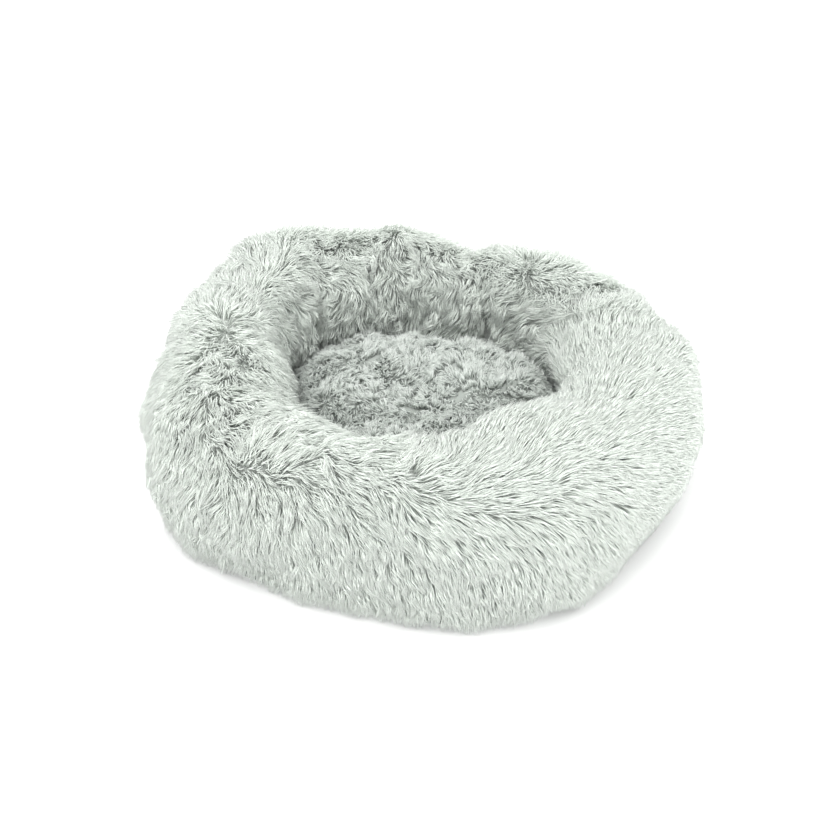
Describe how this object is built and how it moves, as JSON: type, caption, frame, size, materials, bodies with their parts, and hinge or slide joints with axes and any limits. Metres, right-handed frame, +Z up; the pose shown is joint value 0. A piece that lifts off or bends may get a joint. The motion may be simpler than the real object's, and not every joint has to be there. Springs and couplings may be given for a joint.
{
  "type": "pet cushion bed",
  "caption": "Round pet bed: a thick stuffed plush rim around a well with a loose plush cushion, on a zipped non-slip base.",
  "frame": {"origin": "under the middle of the bed's outline, on the surface it rests on", "axes": "+Z up, +X along the longest side of the outline, +Y to the back of the bed"},
  "size_m": [0.61, 0.572, 0.1946],
  "materials": {
    "rim_plush": "long-pile plush, pale sage grey, lying tufted pile",
    "cushion_plush": "curly medium-pile plush, sage grey",
    "cushion_fabric": "plain brushed fabric",
    "nonwoven_liner": "thin non-woven sack",
    "fibre_fill": "polyester fibre",
    "floor_fabric": "plain lining fabric",
    "base_fabric": "coated plain-weave fabric",
    "anti_slip_rubber": "moulded dots, matt",
    "binding_tape": "woven tape",
    "label_satin": "blank satin label",
    "zip_tape": "herringbone zip tape",
    "zip_teeth": "moulded plastic teeth",
    "zip_metal": "satin zinc-grey metal"
  },
  "bodies": {
    "bed": {"rim_cover_front": "rim_plush", "rim_cover_right": "rim_plush", "rim_cover_back": "rim_plush", "rim_cover_left": "rim_plush", "rim_liner": "nonwoven_liner", "rim_filling": "fibre_fill", "floor_panel": "floor_fabric", "base_wadding": "fibre_fill", "base_panel_front": "base_fabric", "base_panel_rear": "base_fabric", "anti_slip_dots_front": "anti_slip_rubber", "anti_slip_dots_rear": "anti_slip_rubber", "base_binding": "binding_tape", "care_label": "label_satin", "zip_tape_front": "zip_tape", "zip_tape_rear": "zip_tape", "zip_teeth_front": "zip_teeth", "zip_teeth_rear": "zip_teeth", "zip_stop_closed_end": "zip_metal", "zip_stop_open_end": "zip_metal"},
    "cushion": {"cushion_top_cover": "cushion_plush", "cushion_under_cover": "cushion_fabric", "cushion_filling": "fibre_fill"},
    "slider": {"zip_slider": "zip_metal"},
    "pull": {"zip_pull": "zip_metal"}
  },
  "joints": [
    {"name": "cushion_lift", "type": "slide", "parent": "bed", "child": "cushion", "axis": [0, 0, 1], "range_m": [0, 0.2]},
    {"name": "zip_slide", "type": "slide", "parent": "bed", "child": "slider", "axis": [1, 0, 0], "range_m": [0, 0.236]},
    {"name": "pull_swing", "type": "hinge", "parent": "slider", "child": "pull", "pos_m": [-0.118, 0, 0.00135], "axis": [0, 1, 0], "range_deg": [0, 180]}
  ]
}
